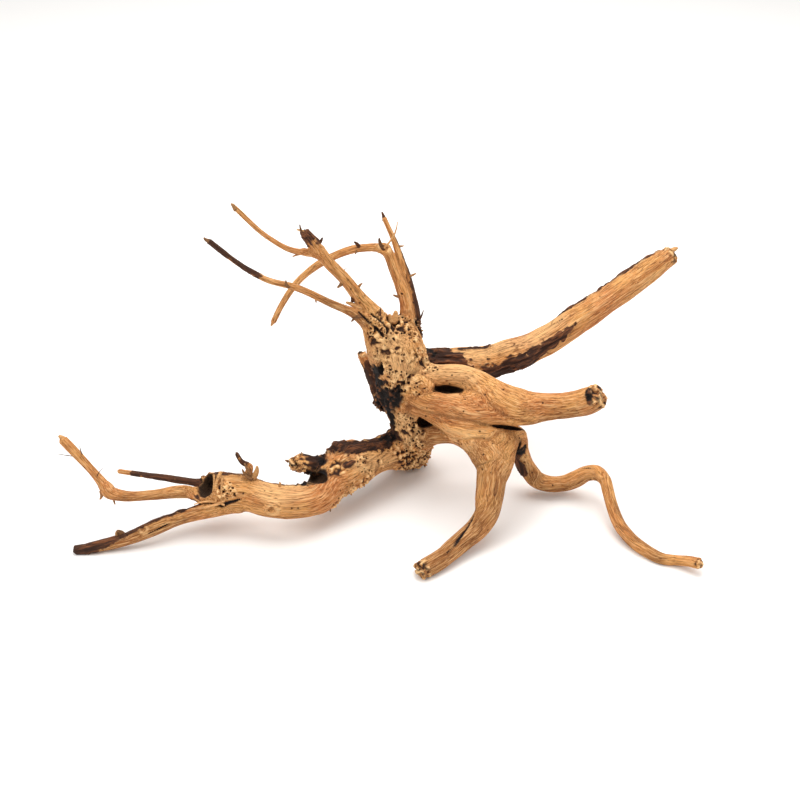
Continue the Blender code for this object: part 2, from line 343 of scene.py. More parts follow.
# Knots: x, y, z, radius and height of the ring of wood that grew round a dead rootlet.
KNOTS = [(-87, -85, 29, 5.0, 1.5), (-47, -42, 47, 7.0, 1.0), (-35, -50, 44, 5.0, 0.8),
         (-175, -91, 15, 3.0, 0.8), (-197, -82, 45, 3.5, 0.8), (-10, 20, 173, 4.5, 1.2),
         (144, -43, 25, 3.0, 0.6), (89, -36, 35, 2.6, 0.5), (113, -57, 97, 3.5, 0.5),
         (-60, -18, 192, 3.5, 0.7), (60, 34, 66, 5.0, 0.9), (-70, -62, 18, 5.0, 0.9),
         (24, -2, 66, 5.0, 0.9), (150, 60, 120, 4.0, 0.6)]

# Hollows: the middle of the mouth, the way in, the mouth's long direction, its half length and
# half width, and the depth.
HOLLOWS = {
    "rotted_heart": [(-134, -70, 37), (0.6, 0.5, -0.62), (0.25, 0.3, 1), 9.0, 8.0, 11.0],
    "under_the_stub": [(-60, -62, 37), (0.6, 0.6, -0.5), (1, -0.4, 0.1), 10.0, 4.5, 8.0],
    "beside_the_crown": [(-12, -19, 101), (0.6, 0.75, -0.1), (0, 0, 1), 6.0, 3.0, 6.0],
    "upper_gap": [(33, -25, 86), (0.0, 0.82, -0.57), (1, -0.1, 0), 12.0, 3.4, 9.0],
    "lower_gap": [(19, -21, 57), (0.0, 0.82, -0.57), (1, 0, 0.35), 7.5, 5.2, 10.0],
    "slit": [(74, -43, 67), (-0.05, 0.75, -0.6), (1, -0.1, -0.05), 14.0, 1.8, 8.0],
    "crotch": [(80, -47, 44), (0, 0.9, -0.1), (0.35, 0, 1), 13.0, 3.0, 10.0],
    "between_twigs": [(-4, -6, 133), (0, 0.3, -1), (1, 0, 0.1), 5.0, 3.5, 7.0],
}

# Flat breaks: a point on the break, the way that it faces, and how far round the point it reaches.
BREAKS = [[(-134, -70, 37), (-0.6, -0.5, 0.62), 11.5]]


def knot_rings(points):
    """Round each knot of radius r a raised ring, its height times exp(-((d - 0.75 r) / 0.4 r)²) at
    the distance d, and inside it a dent, 1.3 times the height times exp(-(d / 0.4 r)²)."""
    height = np.zeros(len(points))
    for x, y, z, radius, rise in KNOTS:
        far = np.linalg.norm(points - (x, y, z), axis=1)
        height += rise * np.exp(-((far - 0.75 * radius) / (0.4 * radius))**2)
        height -= 1.3 * rise * np.exp(-(far / (0.4 * radius))**2)
    return height


def from_mouth(points, mouth, inward, along, half_length, half_width):
    """Where points lie from a hollow's mouth: (along / half length)^p + (across / half width)²,
    which is 1 on the mouth's edge and less inside, the depth below it, and the way in at length 1.
    The power p is 2 for a round mouth, and 1.2 for a long one, which makes its ends pointed."""
    inward = unit(np.array(inward, float))
    along = np.array(along, float)
    along = unit(along - (along @ inward) * inward)
    offset = points - mouth
    power = 1.2 if half_length > LONG_MOUTH * half_width else 2.0
    across = offset @ np.cross(inward, along)
    oval = np.abs(offset @ along / half_length)**power + (across / half_width)**2
    return oval, offset @ inward, inward


def hollow_shade(points):
    """1 on the walls and floor of a hollow, from 2 mm below its mouth, and 0 elsewhere."""
    shade = np.zeros(len(points))
    for *mouth, depth in HOLLOWS.values():
        oval, deep, _ = from_mouth(points, *mouth)
        walls = ease(oval, 1.3, 0.9) * ease(deep, 0.2, 2.0) * ease(deep, depth + 9, depth + 6)
        shade = np.maximum(shade, walls)
    return shade


# A thin limb swells less than a thick one.
slender = np.clip(thick / 9.0, 0.15, 1.0)
for size, height in LUMPS:
    skin += (height * slender * 2 * (noise(skin, size) - 0.5))[:, None] * out
skin += knot_rings(skin)[:, None] * out
for place, facing, reach in BREAKS:
    facing = unit(np.array(facing, float))
    offset = skin - place
    proud = offset @ facing
    aside = np.linalg.norm(offset - proud[:, None] * facing, axis=1)
    share = ease(aside, reach, 0.85 * reach) * ease(proud, *NEAR_BREAK)
    skin -= (np.maximum(proud, 0) * share)[:, None] * facing
for *mouth, depth in HOLLOWS.values():
    oval, deep, inward = from_mouth(skin, *mouth)
    share = ease(oval, 1.0, 0.45) * ease(np.abs(deep), *NEAR_MOUTH)
    skin += depth * share[:, None] * inward
form.vertices.foreach_set("co", skin.astype(np.float32).ravel())
form = finished(form, "REMESH", mode="VOXEL", voxel_size=SKIN_CELL)
form = finished(form, "SMOOTH", factor=0.5, iterations=2)

# ---- The relief of the surface -------------------------------------------------------------------
# Bare wood has weathered into fine ridges along its grain. The crown, the burl and the trunk's
# ridges are pitted like cork, where hair roots were packed together. Bark holds on in the lee of
# the limbs, as a thin fibrous layer with ragged edges, and the drying wood has split along it.

BARE_RIDGES = (((50, 4.2, 4.2), 0.26), ((28, 1.8, 1.8), 0.15), ((14, 0.9, 0.9), 0.12))
BARK_RIDGES = (((16, 2.4, 2.4), 1.1), ((6, 1.0, 1.0), 0.9))
BARK_THICKNESS = 0.7
CHECK_DEPTH = 0.45      # drying checks, finer than the splits
WART_SPACING = 4.0
WART_HEIGHT = 1.4
WORM_SPACING = 3.6      # winding folds between the warts
WORM_HEIGHT = 1.1
PIT_SPACING = 2.1
PIT_DEPTH = 1.6
RIM_HEIGHT = 0.7        # the rim round a pit
PORE_SPACING = 6.5      # single pores of hair roots, on all but the thinnest limbs
PORE_DEPTH = 0.6
SPLIT_DEPTH = 1.6
CREASE_DEPTH = 1.5
TORN_FIBRES = ((2.6, 2.2), (1.3, 1.4))      # spacing and height of the fibres at a broken end
PORED_LIMB = 4.0        # radius above which a limb has pores

# Marks lie along the skin as rows of stations: x, y, z and the reach round it. Where it is pitted:
PITTED = [[(-12, -14, 124, 12), (-4, -18, 108, 14), (1, -22, 94, 14), (2, -22, 82, 8)],
          [(-16, -13, 132, 8), (-10, -6, 132, 9), (4, -4, 124, 10), (12, 0, 112, 10)],
          [(12, -14, 106, 9), (17, -13, 96, 7), (23, -14, 99, 4)],
          [(-6, -23, 88, 7), (-2, -25, 80, 5)],
          [(2, -26, 64, 6), (4, -26, 50, 11), (6, -25, 38, 13), (9, -20, 24, 14), (10, -10, 8, 17)],
          [(22, -10, 28, 10), (24, -2, 16, 11)],
          [(6, 16, 30, 13), (8, 14, 14, 13), (-6, 6, 14, 12)],
          [(-20, 4, 112, 9), (-12, 12, 100, 10), (0, 15, 112, 9)],
          [(-14, -40, 32, 5), (-25, -51, 32, 6), (-32, -57, 24, 7), (-44, -68, 18, 6)],
          [(-27, -45, 42, 5), (-40, -54, 42, 5), (-46, -60, 37, 4)],
          [(-120, -78, 37, 5), (-124, -74, 41, 4)],
          [(-70, -56, 45, 7), (-76, -58, 46, 6)],
          [(3, 8, 134, 3), (2, 8, 144, 2)]]

# Where warts stand closest.
WARTY = [[(0, -22, 26, 8), (8, -22, 16, 10), (16, -12, 10, 9), (22, 0, 8, 8)],
         [(-6, -22, 90, 6), (0, -25, 90, 5)], [(-8, -16, 76, 10), (-10, -6, 66, 9)],
         [(-20, -50, 26, 5), (-32, -60, 20, 6), (-44, -70, 15, 5)],
         [(16, -14, 104, 6), (17, -12, 92, 6)], [(-10, -12, 130, 6), (2, -8, 128, 7)]]

# Where pits lie side by side, each the hole of a hair root.
CLUSTERS = [[(8, -24, 34, 5), (14, -24, 31, 6)], [(-6, -20, 101, 5), (1, -22, 96, 6)],
            [(9, -18, 110, 4), (16, -15, 108, 6)], [(0, -24, 90, 6), (-5, -22, 84, 5)],
            [(4, -27, 62, 4), (12, -27, 52, 5)], [(-119, -74, 40, 4), (-115, -77, 37, 4)],
            [(22, -16, 14, 7), (6, -22, 14, 6)]]

# The furrow between two limbs that have grown together.
CREASES = [[(44, -26, 84, 3), (52, -28, 84, 3.5), (61, -36, 83, 3.5), (68, -45, 82, 3.5),
            (77, -49, 78, 2.5), (90, -53, 80, 1)],
           [(22, -26, 86, 2.5), (14, -25, 87, 3), (7, -24, 90, 2.5), (2, -23, 95, 1.5)],
           [(24, -36, 70, 2.5), (28, -38, 69, 3), (36, -42, 69, 3), (47, -45, 69, 3), (59, -45, 70, 2)],
           [(3, -25, 73, 2), (10, -28, 72, 3), (18, -31, 70, 3), (24, -34, 67, 2)],
           [(44, -46, 58, 1.5), (56, -58, 53, 3), (62, -68, 42, 2.5), (60, -76, 32, 1)]]

# Where bark still holds on; one stroke, down the winding leg's left side, is dark bark painted as shade.
BARK_AND_SHADE = [[(14, 14, 92, 9), (26, 14, 88, 9), (38, 14, 84, 8), (52, 14, 74, 9), (66, 15, 73, 9),
         (78, 19, 77, 7), (90, 20, 80, 6), (104, 26, 86, 5), (116, 31, 93, 3.5), (128, 37, 102, 1.5)],
        [(44, 22, 90, 2.5), (55, 25, 89, 2.2), (66, 28, 88, 1.5)],
        [(100, 44, 94, 1), (112, 48, 101, 1.6), (124, 52, 107, 2.6), (138, 56, 114, 2.6),
         (153, 61, 122, 2.4), (178, 68, 136, 2.2), (190, 72, 143, 1)],
        [(60, 38, 68, 5), (84, 42, 74, 7), (110, 48, 84, 4)],
        [(-2, -14, 42, 7), (-11, -20, 40, 7), (-21, -32, 44, 6), (-34, -38, 47, 7), (-46, -38, 48, 7)],
        [(-33, -52, 43, 2.6), (-38, -54, 42, 2.6)],
        [(-10, 0, 30, 9), (-26, -20, 26, 12), (-44, -36, 20, 10)],
        [(-108, -60, 39, 2), (-118, -61, 41, 2.5), (-126, -62, 42, 2.5)],
        [(-98, -63, 37, 1.6), (-90, -66, 37, 2.2), (-76, -68, 36, 2.4), (-64, -63, 36, 2.6)],
        [(-140, -75, 27, 3), (-152, -79, 22, 2.8), (-170, -85, 17, 2.5), (-186, -90, 13, 3),
         (-200, -95, 8, 3)],
        [(-139, -58, 30, 4.5), (-162, -56, 33, 3.5), (-186, -52, 34, 3)],
        [(-200, -95, 7, 3), (-212, -97, 6, 5), (-224, -98, 4, 7)],
        [(-8, 10, 58, 12), (-14, 14, 62, 9), (-21, 19, 73, 6), (-25, 22, 80, 4)],
        [(-54, -47, 40, 6), (-62, -50, 43, 7), (-67, -51, 46, 5)],
        [(15, 7, 114, 5), (14, 9, 128, 4.5), (10, 17, 148, 3.5), (4, 24, 166, 2), (-3, 28, 178, 1)],
        # Painted shade: dark bark down the winding leg's left side, where it is in shadow.
        [(85, -34, 44, 4.5), (83, -33, 34, 5), (88, -35, 22, 4)],
        [(-92, -32, 181, 2.5), (-108, -36, 198, 3), (-122, -40, 212, 3)],
        [(-55, -18, 196, 3), (-60, -20, 204, 5), (-64, -22, 210, 5)],
        [(-107, -62, 49, 3), (-112, -60, 56, 3)],
        [(6, 16, 60, 10), (0, 18, 76, 9), (8, 20, 88, 7)],
        [(10, 2, 42, 4), (-8, -20, 58, 3), (-7, -20, 46, 4)]]

# Where the wood is rough and nearly black: partly old rot, partly painted shade, which fills the recesses
# beside the crown, under the trunk's stub and in the crotch of the winding leg.
BLACK_ROT_AND_SHADE = [[(-1, -24, 86, 4), (-4, -22, 80, 8), (-8, -18, 76, 10), (-13, -10, 72, 11), (-11, -6, 62, 11)],
         [(-14, -15, 98, 5), (-15, -12, 88, 8), (-15, -14, 78, 9)],
         [(-8, -20, 66, 6), (-8, -19, 56, 5), (-9, -20, 48, 5), (-9, -18, 40, 6)],
         [(87, -41, 47, 3), (84, -38, 40, 4)],
         [(14, 12, 92, 5), (24, 15, 90, 3)],
         [(-70, -66, 37, 3), (-62, -62, 38, 6), (-54, -60, 38, 5)],
         [(-64, -50, 42, 3), (-56, -48, 40, 5)],
         [(8, 4, 124, 3), (12, 6, 122, 3)],
         [(124, -60, 111, 1.8), (125, -64, 109, 2.3), (126, -67, 105, 2)]]

# Splits of the drying wood, along the grain.
SPLITS = [[(52, -82, 25, 1.0), (47, -92, 20, 1.3), (43, -98, 18, 1.2), (37, -106, 14, 1.5),
           (32, -112, 13, 0.9)],
          [(-27, -17, 144, 1.1), (-20, -18, 136, 1.5), (-14, -17, 129, 1.3), (-10, -18, 122, 0.6)],
          [(-19, -13, 140, 0.9), (-12, -13, 133, 1.4), (-8, -14, 128, 0.9)],
          [(8, -24, 86, 0.7), (18, -26, 85, 1.1), (26, -26, 85, 1.5)],
          [(42, -27, 84, 1.2), (52, -31, 83, 0.8), (64, -38, 84, 0.4)],
          [(28, -32, 58, 1.4), (40, -42, 60, 0.8), (52, -47, 63, 0.7), (62, -48, 65, 1.2)],
          [(-137, -77, 26, 1.0), (-129, -78, 28, 1.9), (-122, -80, 28, 2.1), (-115, -80, 31, 1.7),
           (-108, -80, 33, 0.6)],
          [(128, -33, 20, 0.5), (134, -36, 26, 0.9), (140, -40, 28, 0.5)],
          [(-112, -77, 34, 0.4), (-98, -80, 33, 0.7), (-84, -84, 33, 0.4)],
          [(92, 20, 84, 0.7), (104, 26, 89, 0.9), (114, 31, 95, 0.5)],
          [(112, -58, 98, 0.4), (113, -60, 94, 0.7), (113, -61, 91, 0.4)],
          [(-150, -85, 21, 0.6), (-165, -90, 15, 0.9), (-180, -94, 10, 0.6)],
          [(-30, -44, 45, 0.5), (-22, -38, 43, 0.9), (-14, -30, 41, 0.6)],
          [(86, 20, 72, 0.5), (98, 24, 79, 1.0), (108, 28, 85, 0.5)],
          [(113, 39, 101, 0.7), (118, 40, 104, 1.1)], [(168, 52, 125, 0.8), (173, 53, 127, 0.8)],
          [(115, -59, 102, 0.7), (117, -63, 98, 1.0), (119, -65, 95, 0.5)],
          [(104, -50, 95, 0.5), (105, -55, 91, 0.7)]]

# Where the wood has weathered to cream or kept its rosy heart colour, and where it is brown: partly the
# wood's own brown, partly painted shade on the front and winding legs and the arch.
TINTS = {
    "cream": [[(-6, -18, 116, 12), (1, -22, 102, 13), (4, -24, 92, 8)], [(3, -26, 60, 9), (6, -25, 46, 9)],
              [(8, -20, 12, 10), (20, -10, 10, 8)],
              [(46, 18, 88, 8), (70, 24, 88, 9), (92, 30, 92, 9), (118, 42, 103, 7)],
              [(14, -14, 96, 8), (34, -16, 96, 8), (52, -22, 94, 6)],
              [(-70, -74, 34, 9), (-90, -76, 36, 8)],
              [(-36, -52, 40, 6), (-20, -44, 34, 8), (-6, -34, 30, 8)]],
    "rosy": [[(28, -34, 76, 9), (50, -40, 76, 10), (68, -46, 76, 9)],
             [(-40, -60, 36, 7), (-54, -68, 34, 7)], [(96, -48, 88, 6), (110, -54, 92, 6)],
             [(120, 42, 98, 6), (160, 56, 116, 7)], [(-50, -46, 46, 6), (-30, -44, 44, 5)]],
    "brown_and_shaded": [[(44, -46, 55, 9), (58, -58, 46, 15), (62, -74, 30, 12), (50, -92, 16, 12),
               (18, -120, 8, 11)],
              [(20, -30, 48, 8), (32, -38, 54, 7)],
              [(86, -46, 72, 7), (108, -56, 82, 8), (130, -64, 98, 9)],
              [(-140, -80, 20, 6), (-170, -90, 12, 6), (-205, -97, 5, 7)],
              [(-150, -75, 31, 5), (-192, -83, 35, 6)],
              [(88, -36, 32, 6), (108, -38, 8, 7), (138, -40, 18, 5)],
              [(150, -60, 12, 5), (176, -108, 4, 7)], [(-24, -16, 136, 5), (-50, -22, 156, 4)],
              [(182, 66, 124, 7), (202, 73, 138, 7)]],
}

# Where limbs broke off: x, y, z and how far from there their fibres are torn.
BROKEN_ENDS = [(133, -62, 107, 10), (200, 71, 141, 9), (13, -123, 5.6, 9), (202, -119, 9, 5),
               (-75, -56, 45, 7), (-62, -21, 207, 5), (-28, 23, 86, 5)]


def closeness(points, strokes):
    """How near each point is to the nearest stroke: 0 on its line, 1 at its reach, and 9 where no
    stroke is near."""
    best = np.full(len(points), 9.0)
    for stroke in strokes:
        path = smooth_path(stroke, PATH_STEP)
        reach = path[:, 3].max() * 2 + 2
        close = np.flatnonzero(((points > path[:, :3].min(0) - reach)
                                & (points < path[:, :3].max(0) + reach)).all(1))
        far = np.linalg.norm(points[close, None] - path[None, :, :3], axis=2) / path[:, 3]
        best[close] = np.minimum(best[close], far.min(1))
    return best


def folds(points, size, shift=0.0):
    """1 where smooth noise crosses its middle value and 0 far from there: a net of lines."""
    return 1 - np.abs(2 * noise(points, size, shift) - 1)


skin = points_of(form)
normal = points_of(form, "vertex_normals", "vector")
grain, thick = read_form(skin)[2:]
slender = np.clip(thick / 7.0, 0.3, 1.0)

# How much of each mark there is at each point, from 0 to 1, with noise fraying its edge.
fray = noise(grain, (12, 1.6, 1.6)) - 0.5 + 0.9 * (noise(skin, 4.0) - 0.5) \
    + 0.6 * (noise(skin, 1.6) - 0.5)
bark_and_shade = ease(closeness(skin, BARK_AND_SHADE) + 0.75 * fray, 1.08, 0.94)
pitted = ease(closeness(skin, PITTED) + 0.9 * (noise(skin, 6.0) - 0.5), 1.25, 0.75)
black_rot_and_shade = ease(closeness(skin, BLACK_ROT_AND_SHADE) + 0.7 * (noise(skin, 3.0) - 0.5), 1.25, 0.8)
inside = hollow_shade(skin)
warty = ease(closeness(skin, WARTY) + 0.8 * (noise(skin, 5.0) - 0.5), 1.2, 0.7)
split = closeness(skin, SPLITS) + 0.6 * (noise(grain, (4, 1, 1)) - 0.5)
cluster = ease(closeness(skin, CLUSTERS) + 0.8 * (noise(skin, 3.0, 4.9) - 0.5), 1.2, 0.8)
crease = ease(closeness(skin, CREASES), 1.2, 0.0)
broken = np.zeros(len(skin))
for x, y, z, reach in BROKEN_ENDS:
    broken = np.maximum(broken, ease(np.linalg.norm(skin - (x, y, z), axis=1) / reach, 1.1, 0.8))

# Ridges along the grain, with drying checks between them.
relief = np.zeros(len(skin))
for size, rise in BARE_RIDGES:
    relief += rise * slender * (1 - 0.6 * pitted) * 2 * (noise(grain, size) - 0.5)
check = ease(folds(grain, (18, 2.4, 2.4), 6.6), 0.90, 0.99) * ease(noise(skin, 12.0, 1.7), 0.45, 0.7)
relief -= CHECK_DEPTH * slender * check * (1 - pitted)

# Warts, winding folds and rimmed pits, at places that noise has shifted so that none is round.
warp = skin + 1.1 * np.stack([noise(skin, 2.5, 3.3), noise(skin, 2.5, 7.7), noise(skin, 2.5, 11.1)], 1)
wart_gap = cells(warp, WART_SPACING)[0]
pit_gap, pit_luck = cells(warp, PIT_SPACING, 5.5)
pit_size = 0.4 + 0.7 * pit_luck
dense = np.maximum(ease(noise(skin, 8.0, 2.2), 0.45, 0.65) * np.maximum(pitted, warty), cluster)
is_pit = pit_luck > 0.3 - 0.25 * cluster
pit = ease(pit_gap / pit_size, 1.2, 0.5) * is_pit * dense
rim = np.exp(-((pit_gap - 1.3 * pit_size) / 0.45)**2) * is_pit * dense
wart = ease(wart_gap, 2.6, 0.2)
worm = ease(folds(warp, WORM_SPACING, 9.1), 0.5, 0.95)
rough = np.maximum(pitted * (0.3 + 0.6 * ease(noise(skin, 7.0, 6.3), 0.35, 0.65)), 1.25 * warty)
rough *= 1 - inside
relief += rough * (WART_HEIGHT * (wart - 0.45) + WORM_HEIGHT * (worm - 0.5))
relief += RIM_HEIGHT * rim - PIT_DEPTH * pit + 0.5 * knot_rings(skin) * noise(skin, 2.2, 1.3)

pore_gap, pore_luck = cells(skin, PORE_SPACING, 8.8)
pore = ease(pore_gap / (0.4 + 0.5 * pore_luck), 1.2, 0.5) * (pore_luck > 0.45) * (thick > PORED_LIMB)
relief -= PORE_DEPTH * pore

# Bark, the rough black places of old rot and painted shade, splits and torn fibres.
for size, rise in BARK_RIDGES:
    relief += bark_and_shade * rise * slender * 2 * (noise(grain, size, 4.4) - 0.5)
relief += np.maximum(black_rot_and_shade - rough, 0) * (1.8 * wart + 1.0 * worm - 1.1) * (1 - inside)
relief -= ease(split, 1.0, 0.2) * SPLIT_DEPTH
relief += broken * sum(rise * (noise(skin, size) - 0.5) for size, rise in TORN_FIBRES)
relief *= np.clip(thick / 3.0, 0.35, 1.0)
skin += (relief + BARK_THICKNESS * slender * bark_and_shade - CREASE_DEPTH * crease)[:, None] * normal
skin[:, 2] = np.maximum(skin[:, 2], FLOOR)
form.vertices.foreach_set("co", skin.astype(np.float32).ravel())


def keep_with_points(mesh, marks):
    """Keeps each array of rows of three with the mesh's points, under its own name."""
    for name, values in marks.items():
        layer = mesh.attributes.new(name, "FLOAT_VECTOR", "POINT")
        layer.data.foreach_set("vector", values.astype(np.float32).ravel())


# What the finish reads: the grain; bark, one stroke of it painted shade; painted shade in pits and
# pores; black rot with painted shade in the hollows and splits; the relief as a tone from 0 for deep
# to 1 for high, lowered in the creases, which the finish paints as highlight and shade, the roughness
# and the limb's radius as a share of THICKEST; and the tints, whose brown is partly painted shade.
THICKEST = 20
# Nearly black in the pits and pores, as painted shade, and dark specks where the fibres are torn at the
# breaks.
pit_shade_and_break_specks = np.clip(pit + 0.9 * pore + broken * ease(noise(skin, 1.8, 5.0), 0.45, 0.25), 0, 1)
# Nearly black: old rot, painted shade on the walls and floors of the hollows, and painted shade in the
# splits.
rot_and_painted_shade = np.maximum(np.maximum(black_rot_and_shade, 0.92 * inside), ease(split, 1.1, 0.5))
# The relief as a tone, lowered in the creases; the finish paints it lighter on ridges and darker in
# hollows, as painted highlight and painted shade.
relief_shading = np.clip(0.5 + 0.5 * relief - 0.16 * crease, 0, 1)
keep_with_points(form, {
    "grain": grain,
    "marks": np.stack([bark_and_shade, pit_shade_and_break_specks, rot_and_painted_shade], 1),
    "tones": np.stack([relief_shading, np.clip(rough, 0, 1), thick / THICKEST], 1),
    "tints": np.stack([ease(closeness(skin, strokes) + 1.2 * (noise(skin, 14.0, 2.9) - 0.5), 1.4, 0.4)
                       for strokes in TINTS.values()], 1),
})
form.calc_loop_triangles()
form = finished(form, "DECIMATE", ratio=min(1.0, SKIN_TRIANGLES / len(form.loop_triangles)),
                use_collapse_triangulate=True)

# The finished skin, moved to the middle of the CAD box and onto its floor.
skin = points_of(form)
skin_normal = points_of(form, "vertex_normals", "vector")
tones = np.empty(len(skin) * 3, np.float32)
form.attributes["tones"].data.foreach_get("vector", tones)
skin_rough, skin_thick = tones.reshape(-1, 3).T[1:]
skin_thick = skin_thick * THICKEST
low, high = skin.min(0), skin.max(0)
shift = np.array([(cad_box[0].x + cad_box[1].x) / 2, (cad_box[0].y + cad_box[1].y) / 2, cad_box[0].z]) \
    - np.array([(low[0] + high[0]) / 2, (low[1] + high[1]) / 2, low[2]]) / 1000
form.vertices.foreach_set("co", (skin / 1000 + shift).astype(np.float32).ravel())
form.name = "root_wood"
root_wood = show(form)
form.shade_smooth()

# ---- The finish of the wood ----------------------------------------------------------------------
# Sun-dried root wood, unsealed: matt, pale straw to orange-tan, with thin darker lines of late
# wood along the grain and dark pores. Painted light and shade follow the relief: painted highlight
# on the ridges, painted shade in the hollows, creases, splits, pits and pores, and on the legs.
# What is left of the bark is a dark red-brown, fibrous and duller than the wood.

CREAM_WOOD_AND_HIGHLIGHT = "#FACA8E"
PALE_WOOD = "#E0A05A"
TAN_WOOD = "#C57F42"
ROSY_WOOD = "#C06E3A"
BROWN_AND_SHADED_WOOD = "#8F5A2C"
LATE_WOOD_AND_SHADE = "#65391B"
PORE_BROWN_AND_PIT_SHADE = "#28160C"
BARK_BROWN = "#371F13"
BARK_RED_AND_HIGHLIGHT = "#86502D"
ROT_AND_SHADE_BLACK = "#150C08"
WOOD_ROUGHNESS = 0.78
WOOD_IOR = 1.5
WOOD_SPECULAR = 0.3     # less than sealed wood has, for the dust in its pores
LINE_DEPTH = 0.0008     # how deep the bump of the lines and fibres is, in metres
PATCHES = 35.0          # rosy patches to the metre: one in about 29 mm


def linear(hex_colour):
    """A colour given as sRGB hex, as the linear values that a shader takes."""
    values = [int(hex_colour[i:i + 2], 16) / 255 for i in (1, 3, 5)]
    return (*(v / 12.92 if v <= 0.04045 else ((v + 0.055) / 1.055)**2.4 for v in values), 1.0)


def add_node(tree, kind, inputs, **settings):
    """A new node with its settings; each input is a value or another node's output socket."""
    node = tree.nodes.new(kind)
    for name, value in settings.items():
        setattr(node, name, value)
    for key, value in inputs.items():
        if isinstance(value, bpy.types.NodeSocket):
            tree.links.new(value, node.inputs[key])
        else:
            node.inputs[key].default_value = value
    return node


def start_material(name):
    """A new material with only its shader and output, with its tree and its shader."""
    material = bpy.data.materials.new(name)
    material.use_nodes = True
    tree = material.node_tree
    return material, tree, tree.nodes["Principled BSDF"]


dry_wood, tree, shader = start_material("dry_root_wood")
grain_at, marks_at, tones_at, tints_at = (
    add_node(tree, "ShaderNodeAttribute", {}, attribute_name=name).outputs["Vector"]
    for name in ("grain", "marks", "tones", "tints"))
bark_and_shade_share, pit_shade_share, rot_and_shade_share = add_node(tree, "ShaderNodeSeparateXYZ", {0: marks_at}).outputs
relief_shading_at = add_node(tree, "ShaderNodeSeparateXYZ", {0: tones_at}).outputs[0]
tint_shares = add_node(tree, "ShaderNodeSeparateXYZ", {0: tints_at}).outputs
spot_at = add_node(tree, "ShaderNodeTexCoord", {}).outputs["Object"]

# Along, across and detail of each pattern, in millimetres: bands of 6 mm, lines of late wood
# 0.8 mm apart and 18 mm long, fibres of 0.5 mm, and pores 0.6 mm wide and 5 mm long.
NOISES = {"bands": ((70, 6, 6), 3.0), "lines": ((18, 0.8, 0.8), 2.0), "fibres": ((6, 0.5, 0.5), 2.0),
          "pores": ((5, 0.6, 0.6), 1.0)}
streaks = {}
for name, (size, detail) in NOISES.items():
    place = add_node(tree, "ShaderNodeVectorMath", {0: grain_at, 1: [1 / side for side in size]},
                     operation="MULTIPLY").outputs[0]
    pattern = add_node(tree, "ShaderNodeTexNoise", {"Vector": place, "Scale": 1.0, "Detail": detail,
                                                    "Roughness": 0.6, "Distortion": 0.2})
    streaks[name] = pattern.outputs["Fac"]
streaks["patches"] = add_node(tree, "ShaderNodeTexNoise", {"Vector": spot_at, "Scale": PATCHES,
                                                           "Detail": 2.0}).outputs["Fac"]
streaks["relief"] = relief_shading_at
streaks |= dict(zip(TINTS, tint_shares))


def share_of(value, none, full, most=1.0):
    """0 where the value is at none, rising evenly to the given most where it is at full."""
    return add_node(tree, "ShaderNodeMapRange", {"Value": value, "From Min": none, "From Max": full,
                                                 "To Max": most}).outputs[0]


def layer_over(under, over, share):
    """One colour over another by that share."""
    return add_node(tree, "ShaderNodeMix", {0: share, 6: under, 7: over}, data_type="RGBA").outputs[2]


# Layers of colour over pale wood: what shows it, from which value of that to which it goes from
# none to all, the most of it, and the colour.
LAYERS = [("bands", 0.38, 0.64, 1.0, TAN_WOOD), ("patches", 0.48, 0.68, 0.6, ROSY_WOOD),
          ("rosy", 0.0, 1.0, 0.55, ROSY_WOOD), ("cream", 0.0, 1.0, 0.45, CREAM_WOOD_AND_HIGHLIGHT),
          # The brown layer is partly painted shade on the legs and the arch.
          ("brown_and_shaded", 0.0, 1.0, 0.7, BROWN_AND_SHADED_WOOD),
          ("lines", 0.47, 0.33, 0.6, LATE_WOOD_AND_SHADE), ("fibres", 0.48, 0.32, 0.8, LATE_WOOD_AND_SHADE),
          ("lines", 0.52, 0.68, 0.5, CREAM_WOOD_AND_HIGHLIGHT), ("fibres", 0.54, 0.68, 0.4, CREAM_WOOD_AND_HIGHLIGHT),
          # The relief layers paint highlight on the ridges and shade in the hollows and pits.
          ("pores", 0.31, 0.24, 0.95, PORE_BROWN_AND_PIT_SHADE), ("relief", 0.55, 0.8, 0.95, CREAM_WOOD_AND_HIGHLIGHT),
          ("relief", 0.46, 0.15, 0.95, LATE_WOOD_AND_SHADE), ("relief", 0.28, 0.05, 0.9, PORE_BROWN_AND_PIT_SHADE)]
base = linear(PALE_WOOD)
for name, none, full, most, colour in LAYERS:
    base = layer_over(base, linear(colour), share_of(streaks[name], none, full, most))
# Bark is red-brown on its fibres only where the relief is high, so the red is partly a painted highlight.
red_fibre_and_highlight_share = add_node(tree, "ShaderNodeMath", {0: share_of(relief_shading_at, 0.35, 0.85),
                                              1: share_of(streaks["fibres"], 0.4, 0.62)},
                     operation="MULTIPLY").outputs[0]
bark_colour = layer_over(linear(BARK_BROWN), linear(BARK_RED_AND_HIGHLIGHT), red_fibre_and_highlight_share)
